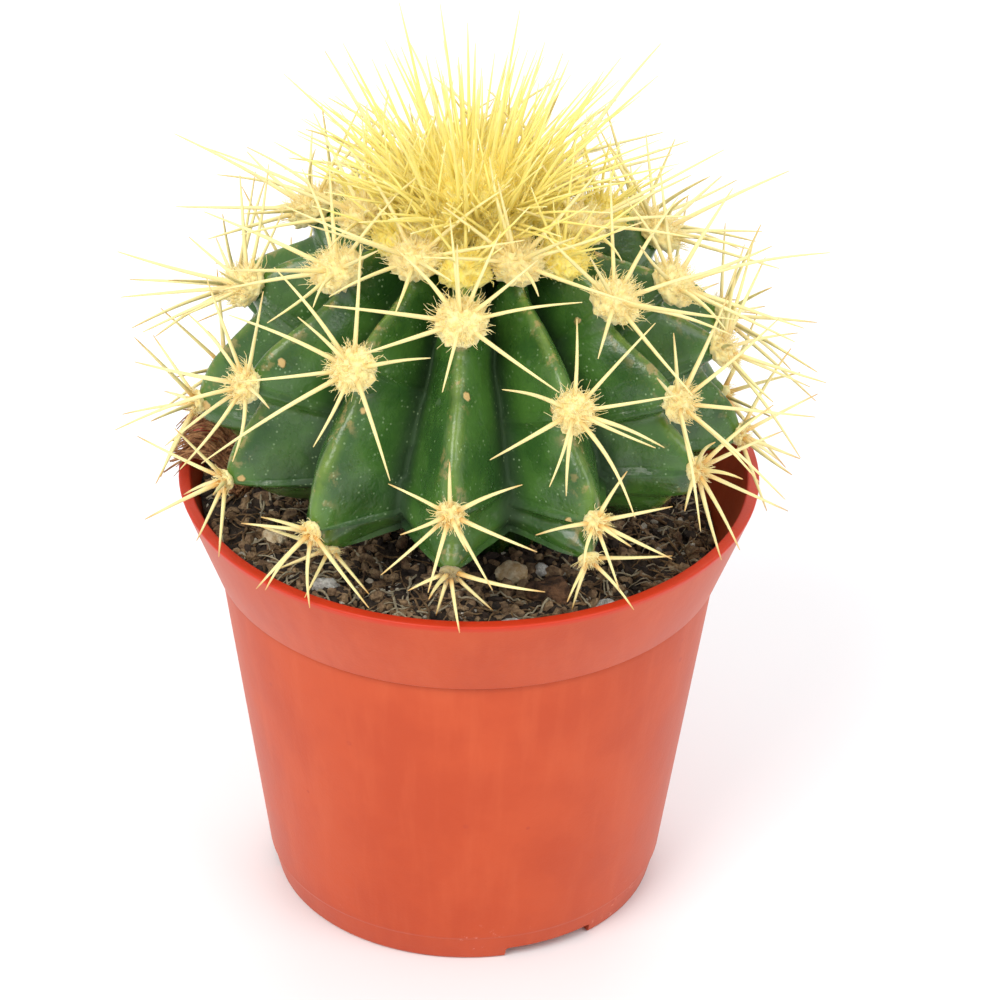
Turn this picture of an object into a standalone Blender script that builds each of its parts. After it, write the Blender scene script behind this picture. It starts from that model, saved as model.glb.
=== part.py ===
# A young round barrel cactus in a small plastic nursery pot.
# Units are metres, +Z is up, the origin is on the ground under the pot's axis, and -Y is the front.
# A turn is an angle about the Z axis: 0 at the front, growing towards +X.

import bpy
import bmesh
import math
import random
import numpy as np
from mathutils import Matrix, Vector

mm = 0.001
GAP = 0.3 * mm                     # air left between pieces that touch

# The pot
POT_HEIGHT = 68.0 * mm
RIM_RADIUS = 42.5 * mm
RIM_WIDTH = 1.8 * mm
RIM_EDGE = 0.4 * mm                # rounding of the rim's outer edge
COLLAR_HEIGHT = 14.0 * mm
COLLAR_FOOT_RADIUS = 37.2 * mm
WALL_TOP_RADIUS = 36.5 * mm        # just under the collar
FOOT_LINE_RADIUS = 29.5 * mm
FOOT_LINE_HEIGHT = 4.6 * mm
FOOT_RADIUS = 28.3 * mm
FOOT_EDGE = 0.5 * mm
POT_WALL = 1.2 * mm
POT_FLOOR = 1.4 * mm
FOOT_WIDTH = 2.4 * mm
FOOT_RECESS = 2.0 * mm
LEDGE_SLOPE = 0.3 * mm             # half the height of the step inside the collar's foot
POT_SEGMENTS = 60
NOTCH_COUNT = 3
NOTCH_WIDTH = 14.0 * mm
NOTCH_HEIGHT = 1.8 * mm
NOTCH_TURN = math.radians(27.0)
DRAIN_COUNT = 6
DRAIN_RADIUS = 3.5 * mm
DRAIN_CIRCLE = 16.0 * mm
DRAIN_SIDES = 12

# The potting mix: high at the front left, low at the back right
MIX_HEIGHT = 60.5 * mm
MIX_FALL = 4.4 * mm                # how far it falls from the middle to the low side
MIX_LOW_TURN = math.radians(115.0)
MIX_BUMP = 0.7 * mm
MIX_RINGS = 6
MIX_CHAMFER = 0.5 * mm             # around its bottom edge
SOCKET_FLOOR = 47.0 * mm

# The stem: a ribbed barrel with a narrow root collar below it
STEM_MIDDLE = 77.7 * mm            # height of its widest place
STEM_RADIUS = 39.3 * mm            # over the ribs
STEM_TOP = 34.5 * mm               # from the middle up to the crown
STEM_UNDERSIDE = 11.0 * mm         # from the middle down to the root collar
STEM_FULLNESS = 2.15               # 2 is an ellipse, and more is boxier
COLLAR_RADIUS = 12.0 * mm
COLLAR_BOTTOM = SOCKET_FLOOR + GAP
STEM_CLOSING_LIFT = math.radians(86.0)
HIGH_DEPTH = 0.30                  # of the valleys near the crown, as a share of the way to the stem's middle
LOW_DEPTH = 0.235                  # the same at the ribs' lower ends
VALLEY_FADE = 5                    # power by which the valleys close towards the crown
COLLAR_FADE = (0.9, 0.6)           # where the valleys start to close underneath, and over how much lift
HIGH_BREADTH = 1.2                 # power of a rib's cross-section near the crown: above 1 is swollen
LOW_BREADTH = 0.55                 # the same at its lower end: below 1 is pinched
SECTION_CHANGE = (0.15, 0.9)       # how far below the middle that change starts, and over how much lift
RIB_ROUNDING = 0.22
NOSE_DEPTH = 0.045                 # how far a rib's flanks step back from the nose that carries an areole
NOSE_WIDTH = 0.28                  # of that nose, as a share of half the rib
NOSE_RANGE = (0.3, 0.6)            # where along a tubercle the nose starts, and over how much of it
CHIN_DEPTH = 0.095                 # how far the rib steps in below each areole
CHIN_LIP = 0.16                    # share of a tubercle that the step takes
CHIN_END = 0.92                    # share of a tubercle by which the step has gone
CHIN_FADE = 0.7                    # how much less it steps in in the valley
RIB_COUNT = 13
FIRST_RIB_TURN = math.radians(-3.4)
RIB_SWAY = math.radians(3.2)       # how far the ribs' lower ends bend aside
STRAIGHT_LIFT = 0.8                # above this lift the ribs are straight
COLUMNS_PER_RIB = 6
STEM_ROWS = 20

# Heights of the areoles along each rib, youngest first, in millimetres.
# Rib 0 faces the front, and the others follow towards +X.
AREOLE_HEIGHTS = (
    (106, 84, 74),
    (110, 96, 81, 74),
    (105, 92, 82),
    (110, 102, 92, 78),
    (103, 88, 75),
    (109, 96, 80),
    (105, 89, 76),
    (107, 92, 78),
    (109, 98, 81),
    (105, 90, 76),
    (110, 99, 80),
    (107, 92, 77),
    (110, 100, 77, 72),
)

PAD_RADIUS = 3.3 * mm
PAD_THICKNESS = 2.2 * mm
OLD_PAD_SHARE = 0.62               # size of a pad at the bottom of a rib
OLD_PAD_HEIGHT = 70.0 * mm
YOUNG_PAD_SHARE = 1.2              # size of a pad beside the crown
YOUNG_PAD_HEIGHT = 110.0 * mm
PAD_OVERLAP = 0.8                  # share of a pad's radius at which its spines leave it

SPINE_SPACING = 1.45 * mm          # least distance between two spines' middles
SPINE_ROOT = 0.3 * mm              # from a root's middle to its sides
STEM_MARGIN = 1.0 * mm
STEM_TRIM = 1.5 * GAP              # how far out of the stem the pads are cut away
SPINE_CHECKS = 20                  # places along a spine where its clearance is measured
ROOT_CHECKS = 3                    # of these, the ones left out beside the pad
NEAREST_ROUNDS = 24
RADIAL_SPINES = 8
RADIAL_LENGTH = 16.5 * mm
RADIAL_LENGTHS = (0.75, 1.15)      # shares of that length
RADIAL_LEANS = (16, 34)            # degrees away from the stem
RADIAL_SCATTER = 9                 # degrees
OLD_SHORTENING = 0.18
CENTRAL_LENGTH = 20.5 * mm
CENTRAL_LENGTHS = (0.85, 1.1)
CENTRAL_LEANS = (40, 58)
CENTRAL_SCATTER = 20
FIRST_SCATTER = 15
SPREAD_LIMIT = 50.5 * mm           # farthest that a spine reaches to any side

# The search for a free direction: each attempt strays farther and reaches a little less
ATTEMPTS = 160
STRAY = 0.35                       # degrees for each attempt
STRAY_IN = 0.3                     # how much of that may lean back to the stem
STEEPEST_LEAN = 80
REACH_LOSS = 0.003

CROWN_RADIUS = 9.3 * mm
CROWN_DOME = 3.2 * mm
CROWN_LIFT = math.radians(88.0)
CROWN_SPINES = 40
CROWN_ROOTS = 0.8                  # share of its radius over which the spines grow
CROWN_SLOPE = 0.6                  # how much the roots fall towards its edge
CROWN_LEANS = (6, 42, 5)           # degrees: in the middle, added towards the edge, and scatter
CROWN_TWIST = 0.2
CROWN_SPINE_LENGTH = 25.0 * mm
CROWN_LENGTHS = (0.6, 1.1)
CROWN_TIP_HEIGHT = 140.0 * mm

# Loose pieces on the mix: finish, turn in degrees, distance from the axis in millimetres,
# and half sizes around the pot, outwards and upwards in millimetres
LOOSE_PIECES = {
    "tan_stone": ("stone", 20, 18.0, (2.6, 2.0, 2.0)),
    "stone_chip": ("perlite", 35, 18.5, (1.3, 1.2, 1.1)),
    "bark_chip": ("bark", 27, 25.5, (4.4, 2.6, 2.3)),
    "perlite_front": ("perlite", 11, 34.0, (1.9, 1.5, 1.3)),
    "perlite_left": ("perlite", -37, 33.5, (2.4, 1.9, 1.6)),
    "perlite_right": ("perlite", 38, 32.5, (2.1, 1.8, 1.5)),
    "perlite_rear": ("perlite", 200, 32.5, (2.2, 1.7, 1.5)),
    "grit_stone": ("stone", -62, 31.5, (2.3, 1.9, 1.5)),
    "grit_stone_rear": ("stone", 150, 30.0, (2.6, 2.0, 1.6)),
    "coir_clump": ("coir", -97, 34.2, (8.0, 3.6, 5.0)),
}
LOOSE_RISE = 0.35                  # share of its half height by which a piece's middle is above the mix
LUMP_DENTS = 0.14
SEAT_GAP = 1.3 * GAP

# Spines of the areoles that face the front, by rib and areole: each has a clock angle seen from outside
# (0 up the rib, growing to the right), its lean away from the stem in degrees, and its length in millimetres.
FRONT_STARS = {
    (0, 0): ((350, 45, 12), (5, 62, 13), (22, 40, 12), (60, 35, 12), (78, 22, 16), (135, 22, 19),
             (185, 28, 14), (235, 22, 15), (260, 20, 18), (310, 28, 10)),
    (0, 1): ((0, 20, 8), (55, 20, 11), (90, 22, 13), (103, 35, 9), (125, 24, 13), (176, 48, 12),
             (195, 28, 10), (220, 24, 13), (255, 34, 8), (268, 22, 13), (305, 18, 8)),
    (0, 2): ((80, 20, 13), (104, 18, 9), (130, 28, 10), (165, 30, 8), (205, 30, 9), (235, 24, 12),
             (272, 20, 12)),
    (1, 1): ((5, 22, 11), (50, 24, 14), (72, 30, 15), (95, 22, 16), (120, 24, 18), (155, 42, 22),
             (180, 22, 13), (215, 24, 19), (245, 22, 17), (295, 20, 11)),
    (1, 2): ((20, 20, 8), (45, 24, 12), (68, 28, 11), (105, 24, 12), (135, 42, 15), (165, 24, 9),
             (198, 26, 9), (240, 26, 16), (272, 20, 12)),
    (1, 3): ((85, 20, 10), (125, 24, 11), (160, 30, 11), (200, 26, 10), (240, 22, 9), (275, 20, 9)),
    (12, 1): ((355, 28, 15), (60, 26, 15), (130, 24, 21), (172, 24, 11), (205, 30, 23), (240, 22, 13),
              (265, 22, 17), (292, 24, 17), (330, 24, 13)),
    (12, 2): ((105, 22, 14), (140, 24, 11), (168, 35, 17), (200, 24, 12), (228, 22, 14), (265, 20, 11),
              (300, 20, 9)),
}


# ---------------------------------------------------------------- helpers

def material(name, color, roughness):
    made = bpy.data.materials.get(name) or bpy.data.materials.new(name)
    made.use_nodes = True
    shader = made.node_tree.nodes["Principled BSDF"]
    shader.inputs["Base Color"].default_value = (*color, 1.0)
    shader.inputs["Roughness"].default_value = roughness
    shader.inputs["Metallic"].default_value = 0.0
    return made


def finished(name, shape, surface, sharp=40.0):
    """Turn a bmesh into a named object of the model."""
    bmesh.ops.recalc_face_normals(shape, faces=shape.faces)
    mesh = bpy.data.meshes.new(name)
    shape.to_mesh(mesh)
    shape.free()
    mesh.materials.append(surface)
    mesh.shade_smooth()
    mesh.set_sharp_from_angle(angle=math.radians(sharp))
    made = bpy.data.objects.new(name, mesh)
    bpy.context.collection.objects.link(made)
    return made


def cutter(name, shape):
    made = finished(name, shape, material("cutter", (0.5, 0.5, 0.5), 0.5))
    made.hide_render = True
    made.display_type = "WIRE"
    return made


def cut(target, tool):
    change = target.modifiers.new(tool.name, "BOOLEAN")
    change.operation = "DIFFERENCE"
    change.solver = "EXACT"
    change.object = tool


def turned(outline, segments):
    """A closed solid of revolution from (radius, height) points that start and end on the axis."""
    shape = bmesh.new()
    points = [shape.verts.new((radius, 0.0, height)) for radius, height in outline]
    edges = [shape.edges.new(pair) for pair in zip(points, points[1:])]
    bmesh.ops.spin(shape, geom=points + edges, cent=(0, 0, 0), axis=(0, 0, 1),
                   angle=math.tau, steps=segments, use_merge=True)
    bmesh.ops.remove_doubles(shape, verts=shape.verts, dist=0.01 * mm)
    return shape


def polar(turn, radius, height):
    return Vector((radius * math.sin(turn), -radius * math.cos(turn), height))


# ---------------------------------------------------------------- pot

def wall_radius(height):
    """Outer radius of the pot's wall, without the collar."""
    share = (height - FOOT_LINE_HEIGHT) / (POT_HEIGHT - COLLAR_HEIGHT - FOOT_LINE_HEIGHT)
    return FOOT_LINE_RADIUS + (WALL_TOP_RADIUS - FOOT_LINE_RADIUS) * share


def inner_radius(height):
    """Radius of the pot's inside, which steps out where the collar begins."""
    collar_foot = POT_HEIGHT - COLLAR_HEIGHT
    if height < collar_foot:
        return wall_radius(height) - POT_WALL
    share = (height - collar_foot) / COLLAR_HEIGHT
    lip = RIM_RADIUS - RIM_WIDTH
    foot = COLLAR_FOOT_RADIUS - POT_WALL
    return foot + (lip - foot) * share


def make_pot():
    collar_foot = POT_HEIGHT - COLLAR_HEIGHT
    floor_top = FOOT_RECESS + POT_FLOOR
    outline = [
        (0.0, FOOT_RECESS),
        (FOOT_RADIUS - FOOT_WIDTH, FOOT_RECESS),
        (FOOT_RADIUS - FOOT_WIDTH, 0.0),
        (FOOT_RADIUS - FOOT_EDGE, 0.0),
        (FOOT_RADIUS, FOOT_EDGE),
        (FOOT_LINE_RADIUS, FOOT_LINE_HEIGHT),
        (WALL_TOP_RADIUS, collar_foot),
        (COLLAR_FOOT_RADIUS, collar_foot),
        (RIM_RADIUS, POT_HEIGHT - RIM_EDGE),
        (RIM_RADIUS - RIM_EDGE, POT_HEIGHT),
        (RIM_RADIUS - RIM_WIDTH, POT_HEIGHT),
        (COLLAR_FOOT_RADIUS - POT_WALL, collar_foot + LEDGE_SLOPE),
        (WALL_TOP_RADIUS - POT_WALL, collar_foot - LEDGE_SLOPE),
        (wall_radius(floor_top) - POT_WALL, floor_top),
        (0.0, floor_top),
    ]
    pot = finished("pot", turned(outline, POT_SEGMENTS), material("pot", (0.70, 0.10, 0.035), 0.38))
    tools = bmesh.new()
    for number in range(NOTCH_COUNT):
        turn = NOTCH_TURN + number * math.tau / NOTCH_COUNT
        place = Matrix.Translation(polar(turn, FOOT_RADIUS, 0.0)) @ Matrix.Rotation(turn, 4, "Z")
        size = Matrix.Diagonal((NOTCH_WIDTH, 4 * FOOT_WIDTH, 2 * NOTCH_HEIGHT, 1.0))
        bmesh.ops.create_cube(tools, size=1.0, matrix=place @ size)
    for number in range(DRAIN_COUNT):
        turn = NOTCH_TURN + (number + 0.5) * math.tau / DRAIN_COUNT
        place = Matrix.Translation(polar(turn, DRAIN_CIRCLE, FOOT_RECESS + POT_FLOOR / 2))
        bmesh.ops.create_cone(tools, cap_ends=True, segments=DRAIN_SIDES, radius1=DRAIN_RADIUS,
                              radius2=DRAIN_RADIUS, depth=4 * POT_FLOOR, matrix=place)
    cut(pot, cutter("pot_openings", tools))


# ---------------------------------------------------------------- stem

def barrel_lift(height):
    """The angle on the barrel's outline at a height: 0 at its widest, a quarter turn at the crown."""
    rise = height - STEM_MIDDLE
    reach = STEM_TOP if rise > 0 else STEM_UNDERSIDE
    share = min(abs(rise) / reach, 1.0)
    return math.copysign(math.asin(share ** (STEM_FULLNESS / 2)), rise)


def barrel_point(lift, share=1.0):
    """Radius and height of the barrel's outline at an angle, drawn in towards its middle by a share."""
    radius = STEM_RADIUS * abs(math.cos(lift)) ** (2 / STEM_FULLNESS)
    reach = STEM_TOP if lift > 0 else STEM_UNDERSIDE
    rise = math.copysign(reach * abs(math.sin(lift)) ** (2 / STEM_FULLNESS), lift)
    return radius * share, STEM_MIDDLE + rise * share


def rib_turn(rib):
    return FIRST_RIB_TURN + rib * math.tau / RIB_COUNT


def sway(turn, lift):
    """How far a rib has bent aside where its straight course would be at this turn."""
    return RIB_SWAY * math.sin(2 * turn) * (1 - smooth(lift / STRAIGHT_LIFT))


AREOLE_LIFTS = [[barrel_lift(height * mm) for height in heights] for heights in AREOLE_HEIGHTS]


def tubercle_phase(rib, lift):
    """How far down between two areoles a place on a rib is: 0 just below the upper, 1 at the lower."""
    above = math.pi / 2
    for below in AREOLE_LIFTS[rib]:
        if lift >= below:
            return (above - lift) / (above - below)
        above = below
    return min((above - lift) / (above + math.pi / 2), 1.0)


def smooth(share):
    share = min(max(share, 0.0), 1.0)
    return share * share * (3 - 2 * share)


def rib_section(offset, breadth):
    """0 on a rib's crest and 1 in the valley, with a rounded crest."""
    low = RIB_ROUNDING ** breadth
    high = (1 + RIB_ROUNDING ** 2) ** (breadth / 2)
    return ((offset ** 2 + RIB_ROUNDING ** 2) ** (breadth / 2) - low) / (high - low)


def stem_share(turn, lift):
    """How far the stem's surface reaches at a place, as a share of the barrel's outline."""
    steps = (turn - sway(turn, lift) - FIRST_RIB_TURN) * RIB_COUNT / math.tau
    rib = round(steps)
    offset = 2 * abs(steps - rib)
    phase = tubercle_phase(rib % RIB_COUNT, lift)
    swell = smooth(phase / CHIN_LIP) * (1 - smooth((phase - CHIN_LIP) / (CHIN_END - CHIN_LIP)))
    high_fade = 1 - max(lift / (math.pi / 2), 0.0) ** VALLEY_FADE
    low_fade = 1 - smooth((-lift - COLLAR_FADE[0]) / COLLAR_FADE[1])
    height_share = smooth((lift + SECTION_CHANGE[0]) / SECTION_CHANGE[1])
    depth = (LOW_DEPTH + (HIGH_DEPTH - LOW_DEPTH) * height_share) * high_fade * low_fade
    breadth = LOW_BREADTH + (HIGH_BREADTH - LOW_BREADTH) * height_share
    chin = CHIN_DEPTH * swell * (1 - CHIN_FADE * offset ** 2) * high_fade
    nose = NOSE_DEPTH * smooth((phase - NOSE_RANGE[0]) / NOSE_RANGE[1]) * high_fade * low_fade
    beside = 1 - math.exp(-(offset / NOSE_WIDTH) ** 2)
    return 1 - chin - nose * beside - depth * rib_section(offset, breadth)


def stem_surface(turn, lift, outset=0.0):
    radius, height = barrel_point(lift, stem_share(turn, lift))
    out = Vector((radius, height - STEM_MIDDLE))
    if outset:
        out += out.normalized() * outset
    return polar(turn, out.x, out.y + STEM_MIDDLE)


def stem_shape(outset=0.0):
    """The ribbed barrel, closed at the crown, with its root collar below."""
    columns = RIB_COUNT * COLUMNS_PER_RIB
    collar_lift = -math.acos((COLLAR_RADIUS / STEM_RADIUS) ** (STEM_FULLNESS / 2))
    shape = bmesh.new()
    rows = []
    for row in range(STEM_ROWS):
        lift = collar_lift + (STEM_CLOSING_LIFT - collar_lift) * row / (STEM_ROWS - 1)
        straight = [FIRST_RIB_TURN + column * math.tau / columns for column in range(columns)]
        ring = [stem_surface(turn + sway(turn, lift), lift, outset) for turn in straight]
        rows.append([shape.verts.new(point) for point in ring])
    bottom = [shape.verts.new((vert.co.x, vert.co.y, COLLAR_BOTTOM - outset)) for vert in rows[0]]
    rows.insert(0, bottom)
    for lower, upper in zip(rows, rows[1:]):
        for column in range(columns):
            after = (column + 1) % columns
            shape.faces.new((lower[column], lower[after], upper[after], upper[column]))
    shape.faces.new(list(reversed(rows[0])))
    shape.faces.new(rows[-1])
    return shape


def stem_clearance(point):
    """About how far a point is outside the stem."""
    rise = point.z - STEM_MIDDLE
    radius = math.hypot(point.x, point.y)
    reach = STEM_TOP if rise > 0 else STEM_UNDERSIDE
    across = (radius / STEM_RADIUS) ** STEM_FULLNESS
    along = (abs(rise) / reach) ** STEM_FULLNESS
    level = (across + along) ** (1 / STEM_FULLNESS)
    lift = math.copysign(math.atan2(math.sqrt(along), math.sqrt(across)), rise)
    share = stem_share(math.atan2(point.x, -point.y), lift)
    return math.hypot(radius, rise) * (1 - share / max(level, 1e-6))


def make_stem():
    finished("stem", stem_shape(), material("stem", (0.045, 0.15, 0.035), 0.28), sharp=60.0)


# ---------------------------------------------------------------- potting mix and loose pieces

def mix_height(turn, radius):
    fall = MIX_FALL * (radius / inner_radius(MIX_HEIGHT)) * math.cos(turn - MIX_LOW_TURN)
    bump = math.sin(3 * turn + radius / (5 * mm)) + math.cos(5 * turn - radius / (4 * mm))
    return MIX_HEIGHT - fall + MIX_BUMP * bump / 2


def make_mix(seats):
    columns = POT_SEGMENTS
    socket = COLLAR_RADIUS + GAP
    floor_top = FOOT_RECESS + POT_FLOOR + GAP
    collar_foot = POT_HEIGHT - COLLAR_HEIGHT
    rows = []
    shape = bmesh.new()
    turns = [column * math.tau / columns for column in range(columns)]
    wall = 1 - math.cos(math.pi / columns)        # how much a chord of the wall cuts the corner

    def beside_wall(height):
        return inner_radius(height) * (1 - wall) - GAP

    def ring(place):
        rows.append([shape.verts.new(polar(turn, *place(turn))) for turn in turns])

    def rim_place(turn):
        height = mix_height(turn, inner_radius(MIX_HEIGHT))
        return beside_wall(height), height

    def top_place(turn, number):
        radius = rim_place(turn)[0]
        radius += (socket - radius) * number / MIX_RINGS
        return radius, mix_height(turn, radius)

    neck = beside_wall(collar_foot - LEDGE_SLOPE)
    ledge = collar_foot + LEDGE_SLOPE + GAP
    ring(lambda turn: (beside_wall(floor_top) - MIX_CHAMFER, floor_top))
    ring(lambda turn: (neck, collar_foot - LEDGE_SLOPE))
    ring(lambda turn: (neck, ledge))
    ring(lambda turn: (beside_wall(ledge), ledge))
    ring(rim_place)
    for number in range(1, MIX_RINGS + 1):
        ring(lambda turn: top_place(turn, number))
    ring(lambda turn: (socket, SOCKET_FLOOR))
    for lower, upper in zip(rows, rows[1:]):
        for column in range(columns):
            after = (column + 1) % columns
            shape.faces.new((lower[column], lower[after], upper[after], upper[column]))
    shape.faces.new(list(reversed(rows[0])))
    shape.faces.new(rows[-1])
    mix = finished("potting_mix", shape, material("potting_mix", (0.035, 0.022, 0.015), 0.95), sharp=50.0)
    cut(mix, cutter("seats", seats))


LOOSE_FINISHES = {
    "stone": ((0.55, 0.38, 0.20), 0.7),
    "perlite": ((0.75, 0.73, 0.68), 0.85),
    "bark": ((0.14, 0.07, 0.035), 0.9),
    "coir": ((0.22, 0.08, 0.03), 0.9),
}


def loose_place(turn, radius, half):
    height = mix_height(turn, radius) + LOOSE_RISE * half[2]
    return Matrix.Translation(polar(turn, radius, height)) @ Matrix.Rotation(turn, 4, "Z")


def add_lump(shape, place, half, seed, swell=0.0):
    """An uneven rounded lump, its half sizes grown by swell."""
    noise = random.Random(seed)
    verts = bmesh.ops.create_icosphere(shape, subdivisions=2, radius=1.0)["verts"]
    for vert in verts:
        vert.co *= noise.uniform(1 - LUMP_DENTS, 1.0)
    size = Matrix.Diagonal((*(side + swell for side in half), 1.0))
    bmesh.ops.transform(shape, matrix=place @ size, verts=verts)


def make_loose(seats):
    """Make each loose piece, and add its seat's cutter to one shape."""
    for seed, (name, (finish, degrees, distance, sizes)) in enumerate(LOOSE_PIECES.items()):
        half = [side * mm for side in sizes]
        place = loose_place(math.radians(degrees), distance * mm, half)
        color, roughness = LOOSE_FINISHES[finish]
        shape = bmesh.new()
        add_lump(shape, place, half, seed)
        finished(name, shape, material(finish, color, roughness), sharp=30.0)
        add_lump(seats, place, half, seed, swell=SEAT_GAP)


# ---------------------------------------------------------------- areoles and crown

class Spines:
    """Keeps every placed spine, so that each new one finds a free direction."""

    def __init__(self, pads):
        self.pads = pads
        self.starts = np.zeros((0, 3))
        self.ends = np.zeros((0, 3))
        self.lumps = []
        for _, degrees, distance, sizes in LOOSE_PIECES.values():
            half = [side * mm for side in sizes]
            self.lumps.append((loose_place(math.radians(degrees), distance * mm, half).inverted(), half))

    def free(self, start, end, own_pad):
        for step in range(ROOT_CHECKS, SPINE_CHECKS + 1):
            point = start.lerp(end, step / SPINE_CHECKS)
            if stem_clearance(point) < STEM_MARGIN:
                return False
            if hits_pot_or_mix(point):
                return False
            for place, half in self.lumps:
                local = place @ point
                if sum((local[axis] / (half[axis] + 2 * GAP)) ** 2 for axis in range(3)) < 1:
                    return False
        for center, radius in self.pads:
            if center != own_pad and segment_gap(start, end, center) < radius + 2 * GAP:
                return False
        if len(self.starts):
            gaps = crossing_gaps(np.array(start), np.array(end), self.starts, self.ends)
            return gaps.min() > SPINE_SPACING
        return True

    def keep(self, placed):
        for start, end in placed:
            self.starts = np.vstack([self.starts, start])
            self.ends = np.vstack([self.ends, end])


def hits_pot_or_mix(point):
    radius = math.hypot(point.x, point.y)
    turn = math.atan2(point.x, -point.y)
    margin = 2 * GAP
    if radius < RIM_RADIUS + 2 * margin and point.z < POT_HEIGHT + margin:
        if point.z < mix_height(turn, radius) + 2 * margin:
            return True
        return radius > inner_radius(max(point.z, POT_HEIGHT - COLLAR_HEIGHT)) - 2 * margin
    return False


def segment_gap(start, end, point):
    along = end - start
    share = min(max((point - start).dot(along) / along.length_squared, 0.0), 1.0)
    return (start + along * share - point).length


def crossing_gaps(start, end, starts, ends):
    """Distances from one segment to many, by alternating between the nearest points."""
    along = end - start
    others = ends - starts
    share = np.full(len(starts), 0.5)
    for _ in range(NEAREST_ROUNDS):
        point = start + along * share[:, None]
        other_share = ((point - starts) * others).sum(1) / (others ** 2).sum(1)
        other_point = starts + others * np.clip(other_share, 0, 1)[:, None]
        share = np.clip(((other_point - start) @ along) / (along @ along), 0, 1)
    return np.linalg.norm(start + along * share[:, None] - other_point, axis=1)


def areole_frame(rib, number):
    """Centre, outward, up-the-rib and sideways directions, and size share of an areole."""
    lift = AREOLE_LIFTS[rib][number]
    turn = rib_turn(rib) + sway(rib_turn(rib), lift)
    radius, height = barrel_point(lift)
    reach = STEM_TOP if lift > 0 else STEM_UNDERSIDE * 2
    slope_out = radius ** (STEM_FULLNESS - 1) / STEM_RADIUS ** STEM_FULLNESS
    rise = height - STEM_MIDDLE
    slope_up = math.copysign(abs(rise) ** (STEM_FULLNESS - 1), rise) / reach ** STEM_FULLNESS
    outward = polar(turn, slope_out, slope_up).normalized()
    side = Vector((math.cos(turn), math.sin(turn), 0.0))
    up = side.cross(outward).normalized()
    if up.z < 0:
        up = -up
    youth = smooth((height - OLD_PAD_HEIGHT) / (YOUNG_PAD_HEIGHT - OLD_PAD_HEIGHT))
    share = OLD_PAD_SHARE + (YOUNG_PAD_SHARE - OLD_PAD_SHARE) * youth
    center = stem_surface(turn, lift) + outward * GAP
    return center, outward, up, side, share


def pad_shape(center, outward, up, side, radius, thickness, detail):
    shape = bmesh.new()
    bmesh.ops.create_icosphere(shape, subdivisions=detail, radius=1.0)
    size = Matrix.Diagonal((radius, radius, thickness, 1.0))
    turn = Matrix((side, up, outward)).transposed().to_4x4()
    bmesh.ops.transform(shape, matrix=Matrix.Translation(center) @ turn @ size, verts=shape.verts)
    return shape


def grow_spine(shape, face, tip):
    side = 2 * face.calc_area() / face.calc_perimeter()
    bmesh.ops.inset_individual(shape, faces=[face], thickness=side - SPINE_ROOT)
    bmesh.ops.poke(shape, faces=[face])["verts"][0].co = tip


def sprout(shape, center, targets):
    """Draw the nearest face of a pad out into each spine."""
    used = set()
    shape.faces.ensure_lookup_table()
    candidates = list(shape.faces)
    for tip in targets:
        direction = (tip - center).normalized()
        face = max((face for face in candidates if face not in used),
                   key=lambda face: (face.calc_center_median() - center).normalized().dot(direction))
        used.add(face)
        grow_spine(shape, face, tip)


def star_plan(rib, number, noise):
    """Clock angle from up the rib, lean out of the stem, and length of each spine of an areole."""
    matched = FRONT_STARS.get((rib, number))
    if matched:
        return [(clock, lean, length * mm) for clock, lean, length in matched]
    age = number / max(len(heights) - 1 for heights in AREOLE_HEIGHTS)
    first = noise.uniform(-FIRST_SCATTER, FIRST_SCATTER)
    plan = []
    for spine in range(RADIAL_SPINES):
        clock = first + 360 * (spine + 0.5) / RADIAL_SPINES + noise.uniform(-RADIAL_SCATTER, RADIAL_SCATTER)
        length = RADIAL_LENGTH * noise.uniform(*RADIAL_LENGTHS) * (1 - OLD_SHORTENING * age)
        plan.append((clock, noise.uniform(*RADIAL_LEANS), length))
    clock = 180 + noise.uniform(-CENTRAL_SCATTER, CENTRAL_SCATTER)
    plan.append((clock, noise.uniform(*CENTRAL_LEANS), CENTRAL_LENGTH * noise.uniform(*CENTRAL_LENGTHS)))
    return plan


def within_reach(start, tip):
    """Shorten a spine that would reach past the plant's spread."""
    share = 1.0
    for axis in (0, 1):
        if abs(tip[axis]) > SPREAD_LIMIT:
            edge = math.copysign(SPREAD_LIMIT, tip[axis])
            share = min(share, (edge - start[axis]) / (tip[axis] - start[axis]))
    if tip.z > CROWN_TIP_HEIGHT:
        share = min(share, (CROWN_TIP_HEIGHT - start.z) / (tip.z - start.z))
    return start.lerp(tip, share)


def free_tip(spines, frame, wanted, noise, own_pad):
    """The tip nearest to the wanted one that leaves a spine clear of everything placed before."""
    center, outward, up, side, share = frame
    clock, lean, length = wanted
    for attempt in range(ATTEMPTS):
        loose = attempt * STRAY
        turn = math.radians(clock + noise.uniform(-loose, loose))
        tilt = math.radians(min(lean + noise.uniform(-STRAY_IN, 1.0) * loose, STEEPEST_LEAN))
        reach = length * (1 - REACH_LOSS * attempt)
        flat = side * math.sin(turn) + up * math.cos(turn)
        direction = flat * math.cos(tilt) + outward * math.sin(tilt)
        root = PAD_RADIUS * share * PAD_OVERLAP
        start = center + direction * root
        tip = within_reach(start, center + direction * (reach + root))
        if spines.free(start, tip, own_pad):
            return tip
    return None


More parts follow.
